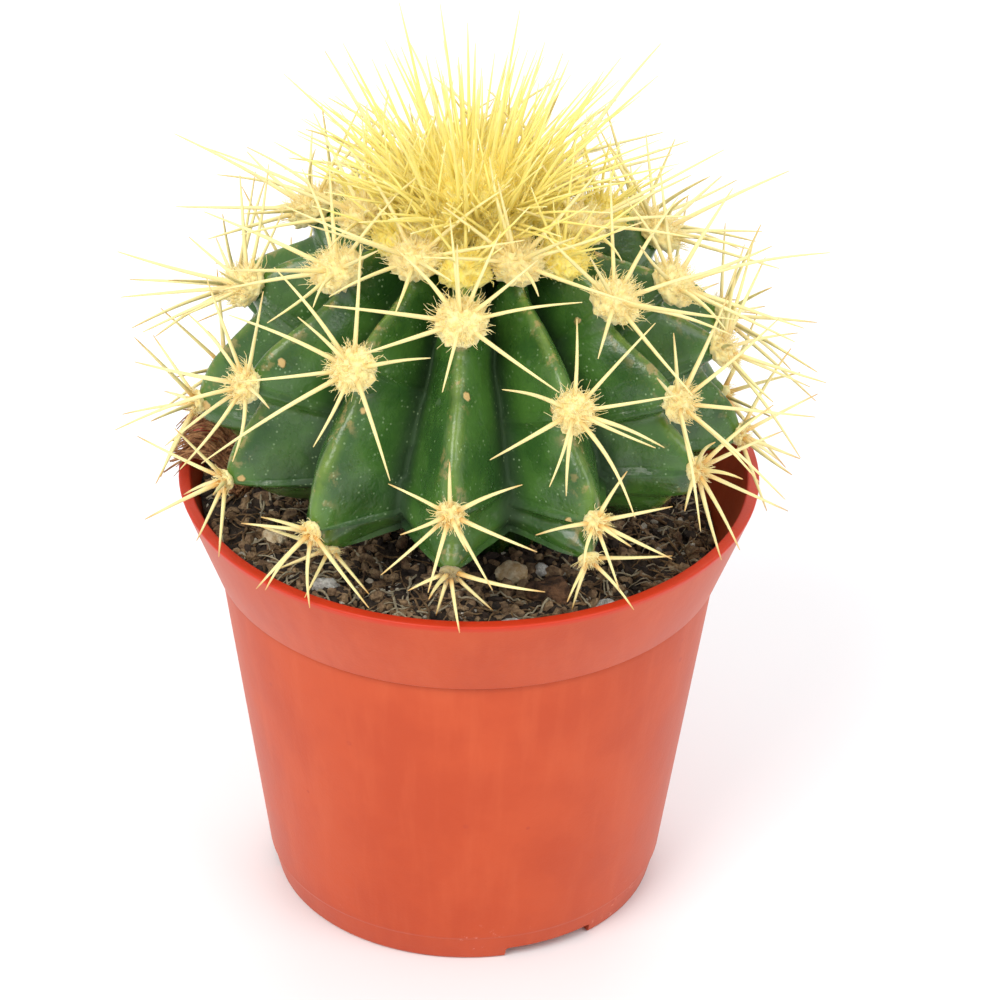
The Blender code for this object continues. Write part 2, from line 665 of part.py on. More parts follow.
def make_areole(name, frame, spines, plan, noise):
    center, outward, up, side, share = frame
    shape = pad_shape(center, outward, up, side, PAD_RADIUS * share, PAD_THICKNESS * share, 2)
    tips = []
    for wanted in plan:
        tip = free_tip(spines, frame, wanted, noise, center)
        if tip is not None:
            tips.append(tip)
            start = center + (tip - center).normalized() * PAD_RADIUS * share * PAD_OVERLAP
            spines.keep([(start, tip)])
    sprout(shape, center, tips)
    return finished(name, shape, material("areole", (0.86, 0.72, 0.34), 0.6), sharp=50.0)


def make_crown(spines, noise):
    top = stem_surface(0.0, CROWN_LIFT).z
    center = Vector((0.0, 0.0, top))
    shape = pad_shape(center, Vector((0, 0, 1)), Vector((0, 1, 0)), Vector((1, 0, 0)),
                      CROWN_RADIUS, CROWN_DOME, 3)
    tips = []
    golden = math.pi * (3 - math.sqrt(5))
    for number in range(CROWN_SPINES):
        share = math.sqrt((number + 0.5) / CROWN_SPINES)
        turn = number * golden
        upright, spread, scatter = CROWN_LEANS
        lean = math.radians(upright + spread * share + noise.uniform(-scatter, scatter))
        rise = CROWN_DOME * math.sqrt(1 - CROWN_SLOPE * share ** 2)
        root = center + polar(turn, CROWN_RADIUS * CROWN_ROOTS * share, rise)
        direction = polar(turn + noise.uniform(-CROWN_TWIST, CROWN_TWIST), math.sin(lean), math.cos(lean))
        length = CROWN_SPINE_LENGTH * noise.uniform(*CROWN_LENGTHS)
        tips.append((root, within_reach(root, root + direction * length)))
    grow_crown(shape, tips)
    spines.keep(tips)
    return finished("crown", shape, material("crown", (0.95, 0.75, 0.14), 0.6), sharp=50.0)


def grow_crown(shape, tips):
    """Draw the face under each root out into a spine."""
    used = set()
    shape.faces.ensure_lookup_table()
    candidates = list(shape.faces)
    for root, tip in tips:
        face = min((face for face in candidates if face not in used),
                   key=lambda face: (face.calc_center_median() - root).length)
        used.add(face)
        grow_spine(shape, face, tip)


def main():
    for old in list(bpy.data.objects):
        bpy.data.objects.remove(old, do_unlink=True)
    make_pot()
    seats = bmesh.new()
    make_loose(seats)
    make_mix(seats)
    make_stem()
    trim = cutter("stem_clearance", stem_shape(STEM_TRIM))
    frames = {(rib, number): areole_frame(rib, number)
              for rib in range(RIB_COUNT) for number in range(len(AREOLE_HEIGHTS[rib]))}
    spines = Spines([(frame[0], PAD_RADIUS * frame[4]) for frame in frames.values()])
    noise = random.Random(8)
    cut(make_crown(spines, noise), trim)
    order = sorted(frames, key=lambda key: (key not in FRONT_STARS, -frames[key][0].z))
    for rib, number in order:
        name = f"areole_{rib + 1:02d}_{number + 1}"
        plan = star_plan(rib, number, noise)
        cut(make_areole(name, frames[rib, number], spines, plan, noise), trim)


main()
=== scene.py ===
import math
import random

import bmesh
import bpy
from mathutils import Matrix, Vector, noise
from mathutils.bvhtree import BVHTree


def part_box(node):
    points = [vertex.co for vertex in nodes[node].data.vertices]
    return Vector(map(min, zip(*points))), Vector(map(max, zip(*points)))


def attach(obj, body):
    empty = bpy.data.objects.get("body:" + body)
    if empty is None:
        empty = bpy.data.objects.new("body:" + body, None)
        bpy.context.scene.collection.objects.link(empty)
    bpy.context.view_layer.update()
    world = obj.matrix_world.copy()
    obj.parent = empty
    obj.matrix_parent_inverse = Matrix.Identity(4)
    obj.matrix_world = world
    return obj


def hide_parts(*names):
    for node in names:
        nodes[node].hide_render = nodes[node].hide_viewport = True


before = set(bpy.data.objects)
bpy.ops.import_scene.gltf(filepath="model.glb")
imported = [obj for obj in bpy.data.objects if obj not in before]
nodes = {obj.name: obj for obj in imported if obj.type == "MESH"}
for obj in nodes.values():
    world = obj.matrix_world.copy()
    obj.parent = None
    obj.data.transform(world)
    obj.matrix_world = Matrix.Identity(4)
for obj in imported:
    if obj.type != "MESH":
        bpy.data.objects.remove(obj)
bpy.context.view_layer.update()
mm = 0.001
goldenTurn = math.pi * (3 - math.sqrt(5))


class Wire:
    # a node output that can be added, multiplied and so on
    def __init__(self, paint, socket):
        self.paint = paint
        self.socket = socket

    def math(self, operation, *values):
        return self.paint.node("ShaderNodeMath", {"operation": operation}, dict(enumerate(values)))

    def __add__(self, other):
        return self.math("ADD", self, other)

    __radd__ = __add__

    def __sub__(self, other):
        return self.math("SUBTRACT", self, other)

    def __rsub__(self, other):
        return self.math("SUBTRACT", other, self)

    def __mul__(self, other):
        return self.math("MULTIPLY", self, other)

    __rmul__ = __mul__

    def __pow__(self, other):
        return self.math("POWER", self, other)

    def between(self, low, high):           # 0 below low, 1 above high, smooth between
        return self.paint.node("ShaderNodeMapRange", {"interpolation_type": "SMOOTHSTEP"},
                               {"Value": self, "From Min": low, "From Max": high})


class Paint:
    # one material and the nodes that feed its Principled shader
    def __init__(self, name, **constants):
        self.material = bpy.data.materials.new(name)
        self.material.use_nodes = True
        self.tree = self.material.node_tree
        self.shader = self.tree.nodes["Principled BSDF"]
        self.place = self.node("ShaderNodeTexCoord", output="Object")
        for socket, value in constants.items():
            self.set(socket.replace("_", " ").title(), value)

    def node(self, kind, settings=None, inputs=None, output=0):
        made = self.tree.nodes.new(kind)
        for key, value in (settings or {}).items():
            setattr(made, key, value)
        for key, value in (inputs or {}).items():
            self.feed(made.inputs[key], value)
        return Wire(self, made.outputs[output])

    def feed(self, socket, value):
        if isinstance(value, Wire):
            self.tree.links.new(value.socket, socket)
        else:
            socket.default_value = value

    def set(self, socket, value):
        self.feed(self.shader.inputs[socket], value)

    def noise(self, size, detail=3.0, roughness=0.55, vector=None):     # size is a feature's size in metres
        return self.node("ShaderNodeTexNoise", None,
                         {"Vector": vector or self.place, "Scale": 1 / size, "Detail": detail,
                          "Roughness": roughness})

    def cells(self, size):                  # how far it is to the nearest cell's middle, in cells
        return self.node("ShaderNodeTexVoronoi", None, {"Vector": self.place, "Scale": 1 / size}, "Distance")

    def attribute(self, name):
        return self.node("ShaderNodeAttribute", {"attribute_name": name}, output="Fac")

    def mix(self, share, first, second):
        sides = [side if isinstance(side, Wire) else (*side, 1.0) for side in (first, second)]
        return self.node("ShaderNodeMix", {"data_type": "RGBA"}, {0: share, 6: sides[0], 7: sides[1]}, 2)

    def axis(self, letter):
        return self.node("ShaderNodeSeparateXYZ", None, {0: self.place}, letter)

    def bump(self, height, depth, strength=1.0):
        self.set("Normal", self.node("ShaderNodeBump", None,
                                     {"Height": height, "Distance": depth, "Strength": strength}))


def addAttribute(mesh, name, values):   # one value for each point, or the same value for all
    layer = mesh.attributes.new(name, "FLOAT", "POINT")
    if isinstance(values, float):
        values = [values] * len(mesh.vertices)
    layer.data.foreach_set("value", values)


def finish(name, shape, material, slot, sharp=None, **attributes):
    mesh = bpy.data.meshes.new(name)
    shape.to_mesh(mesh)
    shape.free()
    for label, values in attributes.items():
        addAttribute(mesh, label, values)
    mesh.materials.append(material)
    mesh.shade_smooth()
    if sharp:
        mesh.set_sharp_from_angle(angle=math.radians(sharp))
    piece = bpy.data.objects.new(name, mesh)
    bpy.context.scene.collection.objects.link(piece)
    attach(piece, "root")
    return piece


def polar(turn, radius, height):        # turn 0 is the front, growing to the right
    return Vector((radius * math.sin(turn), -radius * math.cos(turn), height))


def smooth(share):
    share = min(max(share, 0.0), 1.0)
    return share * share * (3 - 2 * share)


def ramp(value, start, span):
    return smooth((value - start) / span)


def between(pair, share):
    return pair[0] + (pair[1] - pair[0]) * share


def turnedShape(outline, segments):
    shape = bmesh.new()
    points = [shape.verts.new((radius, 0.0, height)) for radius, height in outline]
    edges = [shape.edges.new(pair) for pair in zip(points, points[1:])]
    bmesh.ops.spin(shape, geom=points + edges, cent=(0, 0, 0), axis=(0, 0, 1),
                   angle=math.tau, steps=segments, use_merge=True)
    bmesh.ops.remove_doubles(shape, verts=shape.verts, dist=0.01 * mm)
    bmesh.ops.recalc_face_normals(shape, faces=shape.faces)
    return shape


def cornered(outline, roundings, steps=4):
    # the outline with its numbered corners cut round by their own lengths
    points = [Vector(point) for point in outline]
    made = []
    for number, corner in enumerate(points):
        length = roundings.get(number)
        if not length:
            made.append(corner)
            continue
        before = corner + (points[number - 1] - corner).normalized() * length
        after = corner + (points[number + 1] - corner).normalized() * length
        for step in range(steps + 1):
            share = step / steps
            made.append(before.lerp(corner, share).lerp(corner.lerp(after, share), share))
    return [tuple(point) for point in made]


def strands(courses, resolution=0):
    # one tapered tube along each course, a list of (point, radius); "along" runs from 0 at its start to 1
    curve = bpy.data.curves.new("strands", "CURVE")
    curve.dimensions = "3D"
    curve.bevel_depth = 1.0
    curve.bevel_resolution = resolution
    for course in courses:
        spline = curve.splines.new("POLY")
        spline.points.add(len(course) - 1)
        for point, (place, radius) in zip(spline.points, course):
            point.co = (*place, 1.0)
            point.radius = radius
    holder = bpy.data.objects.new("strands", curve)
    bpy.context.scene.collection.objects.link(holder)
    view = bpy.context.evaluated_depsgraph_get()
    mesh = bpy.data.meshes.new_from_object(holder.evaluated_get(view))
    bpy.data.objects.remove(holder)
    sides = 4 + 2 * resolution
    addAttribute(mesh, "along", [ring / (len(course) - 1) for course in courses for ring in range(len(course))
                                 for side in range(sides)])
    shape = bmesh.new()
    shape.from_mesh(mesh)
    bmesh.ops.holes_fill(shape, edges=[edge for edge in shape.edges if edge.is_boundary])
    bmesh.ops.recalc_face_normals(shape, faces=shape.faces)
    return shape


def bent(start, end, sag, steps, thick, thin, direction):
    # a course from start to end that bows aside by a share of its length
    length = (end - start).length
    course = []
    for step in range(steps + 1):
        share = step / steps
        place = start.lerp(end, share) + direction * (math.sin(math.pi * share) * sag * length)
        radius = thin + (thick - thin) * (1 - share) ** 0.65
        course.append((place, radius))
    return course


def mergedShape(name):
    # a copy of a CAD part, with its loose triangles joined
    shape = bmesh.new()
    shape.from_mesh(nodes[name].data)
    bmesh.ops.remove_doubles(shape, verts=shape.verts, dist=0.002 * mm)
    return shape


def mergedPoints(name):
    shape = mergedShape(name)
    points = [vertex.co.copy() for vertex in shape.verts]
    shape.free()
    return points


def earthPaint(name, dark, light, size=2.0 * mm):
    paint = Paint(name, roughness=0.9)
    coarse = paint.noise(size, 6, 0.7)
    paint.set("Base Color", paint.mix(coarse.between(0.35, 0.68), dark, light))
    paint.set("Roughness", 0.75 + coarse * 0.3)
    paint.bump(paint.noise(size * 0.25, 4, 0.65) + coarse, 0.35 * size, 0.8)
    return paint.material


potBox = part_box("pot")
potShape = {
    "top": potBox[1].z,
    "rimRadius": potBox[1].x,
    "rimWidth": 1.8 * mm,
    "collarHeight": 14.0 * mm,
    "collarFootRadius": 37.2 * mm,
    "wallTopRadius": 36.5 * mm,
    "footLineHeight": 4.6 * mm,
    "footLineRadius": 29.5 * mm,
    "footRadius": 28.3 * mm,
    "footWidth": 2.4 * mm,
    "footRecess": 2.0 * mm,
    "floor": 1.4 * mm,
    "wall": 1.2 * mm,
    "segments": 192,
    "notches": 3,
    "notchWidth": 14.0 * mm,
    "notchTurn": math.radians(27),
    "drains": 6,
    "drainRadius": 3.5 * mm,
    "drainCircle": 16.0 * mm,
    "sharp": 38,
    "wallDark": (0.49, 0.060, 0.014),
    "wallLight": (0.545, 0.075, 0.019),
    "streak": (0.62, 0.11, 0.036),
    # painted light: a stronger red for the rim's top band, for how the light from above falls on it
    "rim": (0.58, 0.036, 0.009),
    "speck": (0.42, 0.045, 0.02),
    "scuff": (0.85, 0.52, 0.42),
}


def plasticPaint():
    paint = Paint("potPlastic", roughness=0.4)
    paint.set("Specular IOR Level", 0.32)
    height = paint.axis("Z")
    # painted light: the top 1.3 mm of the pot, its rim, is painted a stronger red for the light falling on it
    # from above
    rim = height.between(potShape["top"] - 1.3 * mm, potShape["top"] - 0.6 * mm)
    cloud = paint.noise(14 * mm, 4)
    streaks = paint.noise(3 * mm, 3, vector=paint.node("ShaderNodeMapping", None, {
        "Vector": paint.place, "Scale": (1.0, 1.0, 0.08)}))
    color = paint.mix(cloud.between(0.35, 0.7), potShape["wallDark"], potShape["wallLight"])
    color = paint.mix(streaks.between(0.45, 0.75) * 0.25, color, potShape["streak"])
    color = paint.mix(rim, color, potShape["rim"])
    specks = paint.cells(5.5 * mm).between(0.10, 0.06) * paint.noise(9 * mm).between(0.52, 0.6)
    color = paint.mix(specks * 0.55, color, potShape["speck"])
    scuffs = paint.noise(1.6 * mm, 5, 0.7).between(0.60, 0.70)
    scuffs = scuffs * height.between(9 * mm, 1 * mm) * paint.noise(16 * mm, 2).between(0.5, 0.62)
    color = paint.mix(scuffs * 0.7, color, potShape["scuff"])
    paint.set("Base Color", color)
    paint.set("Roughness", 0.34 + cloud * 0.14 + scuffs * 0.2)
    grain = paint.noise(0.45 * mm, 3) * 0.5 + paint.noise(6 * mm, 2) * 1.2
    paint.bump(grain, 0.12 * mm, 0.5)
    return paint.material


def makePot():
    pot = potShape
    collarFoot = pot["top"] - pot["collarHeight"]
    floorTop = pot["footRecess"] + pot["floor"]
    floorRadius = pot["footLineRadius"] - pot["wall"]
    outline = [
        (0.0, pot["footRecess"]),
        (pot["footRadius"] - pot["footWidth"], pot["footRecess"]),
        (pot["footRadius"] - pot["footWidth"], 0.0),
        (pot["footRadius"], 0.0),
        (pot["footLineRadius"] - 0.1 * mm, pot["footLineHeight"] - 0.25 * mm),
        (pot["footLineRadius"] + 0.12 * mm, pot["footLineHeight"] + 0.1 * mm),
        (pot["wallTopRadius"], collarFoot - 1.2 * mm),
        (pot["wallTopRadius"] - 0.35 * mm, collarFoot + 0.2 * mm),
        (pot["collarFootRadius"], collarFoot),
        (pot["rimRadius"], pot["top"] - 0.1 * mm),
        (pot["rimRadius"] - 0.45 * mm, pot["top"]),
        (pot["rimRadius"] - pot["rimWidth"], pot["top"]),
        (pot["collarFootRadius"] - pot["wall"], collarFoot + 0.3 * mm),
        (pot["wallTopRadius"] - pot["wall"], collarFoot - 0.3 * mm),
        (floorRadius, floorTop),
        (0.0, floorTop),
    ]
    rounded = cornered(outline, {2: 0.4 * mm, 3: 0.6 * mm, 4: 0.2 * mm, 5: 0.2 * mm, 8: 0.35 * mm,
                                 9: 0.4 * mm, 10: 0.2 * mm, 11: 0.35 * mm, 12: 0.5 * mm, 13: 0.5 * mm,
                                 14: 1.2 * mm})
    shape = turnedShape(rounded, pot["segments"])
    piece = finish("potShell", shape, plasticPaint(), slot="pot", sharp=pot["sharp"])
    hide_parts("pot")
    tools = bmesh.new()
    for number in range(pot["notches"]):
        turn = pot["notchTurn"] + number * math.tau / pot["notches"]
        place = Matrix.Translation(polar(turn, pot["footRadius"], 0.0)) @ Matrix.Rotation(turn, 4, "Z")
        size = Matrix.Diagonal((pot["notchWidth"], 4 * pot["footWidth"], 2 * pot["footRecess"] - 0.4 * mm, 1))
        bmesh.ops.create_cube(tools, size=1.0, matrix=place @ size)
    bmesh.ops.bevel(tools, geom=tools.edges, offset=0.5 * mm, segments=3, profile=0.5, material=-1,
                    affect="EDGES")
    for number in range(pot["drains"]):
        turn = pot["notchTurn"] + (number + 0.5) * math.tau / pot["drains"]
        place = Matrix.Translation(polar(turn, pot["drainCircle"], floorTop))
        bmesh.ops.create_cone(tools, cap_ends=True, segments=40, radius1=pot["drainRadius"],
                              radius2=pot["drainRadius"], depth=4 * pot["floor"], matrix=place)
    applyCut(piece, tools)


def applyCut(piece, tools):
    mesh = bpy.data.meshes.new("cutter")
    tools.to_mesh(mesh)
    tools.free()
    cutter = bpy.data.objects.new("cutter", mesh)
    bpy.context.scene.collection.objects.link(cutter)
    change = piece.modifiers.new("cut", "BOOLEAN")
    change.operation = "DIFFERENCE"
    change.solver = "EXACT"
    change.object = cutter
    view = bpy.context.evaluated_depsgraph_get()
    made = bpy.data.meshes.new_from_object(piece.evaluated_get(view))
    piece.modifiers.clear()
    piece.data = made
    made.shade_smooth()
    made.set_sharp_from_angle(angle=math.radians(potShape["sharp"]))
    bpy.data.objects.remove(cutter)


makePot()
print("pot made")

mixLook = {
    "lowestTop": 50 * mm,               # what lies lower is the mix's side
    "lumpsAbove": 55.2 * mm,
    "rootClear": 12.6 * mm,
    "lumpSize": 4.0 * mm,
    "lumps": 1.0 * mm,
    "highestLump": 0.9 * mm,
    "wallFade": 1.2 * mm,
    "wallGap": 0.2 * mm,
    "dark": (0.016, 0.010, 0.007),
    "light": (0.10, 0.065, 0.040),
    "grains": 3800,
    "grainReach": 40.6 * mm,
    "grainSize": (0.35 * mm, 1.5 * mm),
    "usualGrain": 0.6 * mm,
    "grainShares": {"dark": 34, "brown": 46, "pale": 20},
    "grainColors": {
        "dark": ((0.020, 0.013, 0.009), (0.075, 0.050, 0.034)),
        "brown": ((0.15, 0.085, 0.045), (0.50, 0.34, 0.19)),
        "pale": ((0.55, 0.48, 0.36), (0.85, 0.80, 0.70)),
    },
    "fibers": 700,
    "fiberReach": 38 * mm,
    "fiberLength": (3 * mm, 10 * mm),
    "fiberThick": (0.10 * mm, 0.26 * mm),
    "fiberSteps": 8,
    "fiberColors": {
        "gray": ((0.34, 0.29, 0.20), (0.70, 0.60, 0.40)),
        "brown": ((0.10, 0.055, 0.025), (0.40, 0.25, 0.12)),
    },
}


def wallRadius(height):                 # the pot's inside above its collar's foot
    pot = potShape
    share = (height - pot["top"] + pot["collarHeight"]) / pot["collarHeight"]
    foot, lip = pot["collarFootRadius"] - pot["wall"], pot["rimRadius"] - pot["rimWidth"]
    return foot + (lip - foot) * share


def roofHeight(tree, x, y):
    hit = tree.ray_cast(Vector((x, y, 0.2)), Vector((0, 0, -1)))
    return hit[0].z if hit[0] else None


def makeMix():
    shape = mergedShape("potting_mix")
    top = [face for face in shape.faces
           if face.normal.z > 0.3 and face.calc_center_median().z > mixLook["lowestTop"]]
    edges = list({edge for face in top for edge in face.edges})
    bmesh.ops.subdivide_edges(shape, edges=edges, cuts=3, use_grid_fill=True)
    bmesh.ops.triangulate(shape, faces=shape.faces)
    for vertex in shape.verts:
        place = vertex.co
        away = math.hypot(place.x, place.y)
        if place.z > mixLook["lumpsAbove"] and away > mixLook["rootClear"]:
            bump = noise.fractal(place / mixLook["lumpSize"], 0.6, 2.0, 4) * mixLook["lumps"]
            inside = wallRadius(place.z) - away
            place.z += min(bump, mixLook["highestLump"]) * smooth(inside / mixLook["wallFade"])
    piece = finish("mixBody", shape, earthPaint("mixEarth", mixLook["dark"], mixLook["light"]),
                   slot="potting_mix", sharp=60)
    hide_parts("potting_mix")
    return BVHTree.FromObject(piece, bpy.context.evaluated_depsgraph_get())


def makeGrains(roof):
    shapes = {kind: bmesh.new() for kind in mixLook["grainShares"]}
    seed = random.Random(5)
    noise.seed_set(5)                   # else noise_vector starts from the clock
    made = 0
    while made < mixLook["grains"]:
        turn = seed.uniform(0, math.tau)
        away = mixLook["grainReach"] * math.sqrt(seed.uniform(0.02, 1))
        height = roofHeight(roof, away * math.cos(turn), away * math.sin(turn))
        if height is None or height < mixLook["lowestTop"]:
            continue
        made += 1
        size = seed.triangular(*mixLook["grainSize"], mixLook["usualGrain"])
        away = min(away, wallRadius(height) - mixLook["wallGap"] - size)
        kind = seed.choices(list(mixLook["grainShares"]), mixLook["grainShares"].values())[0]
        if kind == "pale":
            size *= 0.55
        spin = Matrix.Rotation(seed.uniform(0, math.tau), 4, seed.choice("XYZ"))
        lean = Matrix.Rotation(seed.uniform(0, math.tau), 4, seed.choice("XYZ"))
        squash = Matrix.Diagonal((size * seed.uniform(0.7, 1.3), size * seed.uniform(0.5, 1),
                                  size * seed.uniform(0.4, 0.8), 1))
        place = Matrix.Translation((away * math.cos(turn), away * math.sin(turn),
                                    height + size * seed.uniform(-0.2, 0.45)))
        corners = bmesh.ops.create_icosphere(shapes[kind], subdivisions=1, radius=1.0,
                                             matrix=place @ spin @ lean @ squash)["verts"]
        for corner in corners:
            corner.co += noise.noise_vector(corner.co / (0.5 * mm)) * size * 0.22
    for kind, shape in shapes.items():
        paint = earthPaint("mixGrain" + kind.capitalize(), *mixLook["grainColors"][kind])
        finish("mixGrains" + kind.capitalize(), shape, paint, slot="potting_mix", sharp=30)


def makeFibers(roof):
    # root hairs and straw that creep over the mix
    seed = random.Random(8)
    courses = {"gray": [], "brown": []}
    steps = mixLook["fiberSteps"]
    for number in range(mixLook["fibers"]):
        turn = seed.uniform(0, math.tau)
        away = mixLook["fiberReach"] * math.sqrt(seed.uniform(0.3, 1))
        length = seed.uniform(*mixLook["fiberLength"])
        heading = seed.uniform(0, math.tau)
        curl = seed.uniform(-1.2, 1.2)
        thick = seed.uniform(*mixLook["fiberThick"])
        x, y = away * math.cos(turn), away * math.sin(turn)
        course = []
        for step in range(steps + 1):
            height = roofHeight(roof, x, y)
            if height is None or height < mixLook["lowestTop"]:
                break
            if math.hypot(x, y) > wallRadius(height) - 3 * mixLook["wallGap"]:
                break
            lift = 0.35 * mm + 0.7 * mm * math.sin(math.pi * step / steps) * seed.uniform(0.3, 1.2)
            course.append((Vector((x, y, height + lift)), thick * (1 - 0.6 * step / steps)))
            heading += curl / steps + seed.uniform(-0.15, 0.15)
            x += math.cos(heading) * length / steps
            y += math.sin(heading) * length / steps
        if len(course) > 4:
            courses[seed.choice(("gray", "brown", "brown"))].append(course)
    for kind, kindCourses in courses.items():
        paint = earthPaint("mixFiber" + kind.capitalize(), *mixLook["fiberColors"][kind])
        finish("mixFibers" + kind.capitalize(), strands(kindCourses, 1), paint, slot="potting_mix")


roof = makeMix()
makeGrains(roof)
makeFibers(roof)
print("potting mix made")

barrel = {
    "middle": 77.7 * mm,
    "radius": 39.3 * mm,
    "top": 34.5 * mm,
    "underside": 11.0 * mm,
    "fullness": 2.15,
    "collarRadius": 12.0 * mm,
    "bottom": 47.3 * mm,
    "ribs": 13,
    "firstTurn": math.radians(-3.4),
    "sway": math.radians(3.2),
    "swayEnd": 0.8,
    "highDepth": 0.30,
    "lowDepth": 0.235,
    "highBreadth": 1.2,
    "lowBreadth": 0.55,
    "sectionChange": (-0.15, 0.9),      # the lift where it starts, and its span
    "footFade": (0.9, 0.6),
    "rounding": 0.22,
    "noseDepth": 0.045,
    "noseWidth": 0.28,
    "noseRange": (0.3, 0.6),
    "chinDepth": 0.095,
    "chinLip": 0.16,
    "chinEnd": 0.92,
    "chinFade": 0.7,
    "wrinkleSize": 5 * mm,
    "wrinkleDepth": 0.16 * mm,
    "dentSize": 9 * mm,
    "dentDepth": 0.9 * mm,
    "sunk": 0.12 * mm,
    "columns": 416,
    "rows": 170,
    "skinDark": (0.023, 0.078, 0.013),
    "skinLight": (0.060, 0.155, 0.023),
    # painted shade for the valleys between the ribs
    "valley": (0.013, 0.042, 0.010),
    # painted highlight along the rib crests
    "stripe": (0.17, 0.26, 0.035),
    # painted light: lighter green for the tubercles' noses
    "tip": (0.075, 0.20, 0.018),
    "tan": (0.36, 0.27, 0.10),
    "speck": (0.36, 0.50, 0.27),
    "cork": (0.62, 0.42, 0.16),
    "dust": (0.40, 0.50, 0.36),
}


def barrelPoint(lift, share):
    power = 2 / barrel["fullness"]
    reach = barrel["top"] if lift > 0 else barrel["underside"]
    away = barrel["radius"] * max(math.cos(lift), 0.0) ** power
    rise = math.copysign(reach * abs(math.sin(lift)) ** power, lift)
    return away * share, barrel["middle"] + rise * share


def swayAt(turn, lift):
    return barrel["sway"] * math.sin(2 * turn) * (1 - smooth(lift / barrel["swayEnd"]))


def ribTurn(rib):
    return barrel["firstTurn"] + rib * math.tau / barrel["ribs"]


def liftOf(point):
    # the barrel's lift angle toward a place: 0 at its widest, a quarter turn at its top
    away, rise = math.hypot(point.x, point.y), point.z - barrel["middle"]
    reach = barrel["top"] if rise > 0 else barrel["underside"]
    power = barrel["fullness"] / 2
    across, along = (away / barrel["radius"]) ** power, (abs(rise) / reach) ** power
    return math.copysign(math.atan2(along, across), rise)


def padPoints(name):                    # the middle of a CAD areole's pad, and all its points
    points = mergedPoints(name)
    middle = Vector([sorted(point[axis] for point in points)[len(points) // 2] for axis in range(3)])
    near = [point for point in points if (point - middle).length < 5.0 * mm]
    return sum(near, Vector()) / len(near), points


areoles = {}
for name in sorted(nodes):
    if name.startswith("areole_"):
        rib, number = (int(part) for part in name.split("_")[1:])
        middle, points = padPoints(name)
        areoles[name] = {"rib": rib - 1, "number": number, "middle": middle, "points": points,
                         "lift": liftOf(middle)}
ribLifts = [sorted((areole["lift"] for areole in areoles.values() if areole["rib"] == rib), reverse=True)
            for rib in range(barrel["ribs"])]


def tuberclePhase(rib, lift):           # 0 just below an areole, 1 at the next one down
    above = math.pi / 2
    for below in ribLifts[rib]:
        if lift >= below:
            return (above - lift) / (above - below)
        above = below
    return min((above - lift) / (above + math.pi / 2), 1.0)


def ribSection(offset, breadth):        # 0 on a rib's crest, 1 in the valley
    low = barrel["rounding"] ** breadth
    high = (1 + barrel["rounding"] ** 2) ** (breadth / 2)
    return ((offset ** 2 + barrel["rounding"] ** 2) ** (breadth / 2) - low) / (high - low)


def ribPlace(turn, lift):
    # offset from the nearest crest, tubercle phase, and the surface's share of the barrel
    steps = (turn - swayAt(turn, lift) - barrel["firstTurn"]) * barrel["ribs"] / math.tau
    rib = round(steps)
    offset = 2 * abs(steps - rib)
    phase = tuberclePhase(rib % barrel["ribs"], lift)
    lip = barrel["chinLip"]
    swell = smooth(phase / lip) * (1 - ramp(phase, lip, barrel["chinEnd"] - lip))
    highFade = 1 - max(lift / (math.pi / 2), 0.0) ** 5
    lowFade = 1 - ramp(-lift, *barrel["footFade"])
    high = ramp(lift, *barrel["sectionChange"])
    depth = between((barrel["lowDepth"], barrel["highDepth"]), high) * highFade * lowFade
    section = ribSection(offset, between((barrel["lowBreadth"], barrel["highBreadth"]), high))
    chin = barrel["chinDepth"] * swell * (1 - barrel["chinFade"] * offset ** 2) * highFade
    nose = barrel["noseDepth"] * ramp(phase, *barrel["noseRange"]) * highFade * lowFade
    beside = 1 - math.exp(-(offset / barrel["noseWidth"]) ** 2)
    return offset, phase, 1 - chin - nose * beside - depth * section


def stemPoint(turn, lift):
    away, height = barrelPoint(lift, ribPlace(turn, lift)[2])
    return polar(turn, away, height)


def skinPaint():
    paint = Paint("stemSkin")
    paint.set("Specular IOR Level", 0.6)
    crest = paint.attribute("crest")
    tip = paint.attribute("tip")
    deep = paint.attribute("deep")
    cloud = paint.noise(7 * mm, 4)
    color = paint.mix(cloud.between(0.3, 0.7), barrel["skinDark"], barrel["skinLight"])
    # painted shade: the skin darkens into the valleys between the ribs, where shade falls
    color = paint.mix(deep.between(0.35, 1.0) * 0.75, color, barrel["valley"])
    # painted highlight: a paler yellow-green in patches along the rib crests, where the light catches them
    stripe = crest.between(0.80, 0.99) * paint.noise(4 * mm, 3).between(0.25, 0.7)
    color = paint.mix(stripe * 0.8, color, barrel["stripe"])
    # painted light: the crest is lighter green on the lower part of each tubercle, its nose that juts out
    # into the light
    color = paint.mix(tip.between(0.45, 1.0) * 0.55, color, barrel["tip"])
    tan = paint.noise(2.4 * mm, 5, 0.65).between(0.54, 0.64) * crest.between(0.7, 0.97)
    color = paint.mix(tan * 0.75, color, barrel["tan"])
    specks = paint.cells(0.8 * mm).between(0.24, 0.12) * paint.noise(3 * mm, 3).between(0.46, 0.58)
    color = paint.mix(specks * 0.5, color, barrel["speck"])
    corks = (paint.cells(8 * mm) + paint.noise(0.9 * mm, 3) * 0.10).between(0.15, 0.12)
    corks = corks * crest.between(0.3, 0.6)
    color = paint.mix(corks, color, barrel["cork"])
    dust = paint.noise(3.2 * mm, 5, 0.7).between(0.60, 0.78) * (1 - deep)
    color = paint.mix(dust * 0.22, color, barrel["dust"])
    paint.set("Base Color", color)
    paint.set("Roughness", 0.20 + cloud * 0.14 + specks * 0.2 + corks * 0.4 + dust * 0.25 + deep ** 3 * 0.5)
    pores = paint.noise(0.55 * mm, 3)
    paint.bump(pores * 0.35 + paint.noise(3.5 * mm, 3) * 1.5 + corks * 1.2, 0.25 * mm, 0.6)
    return paint.material


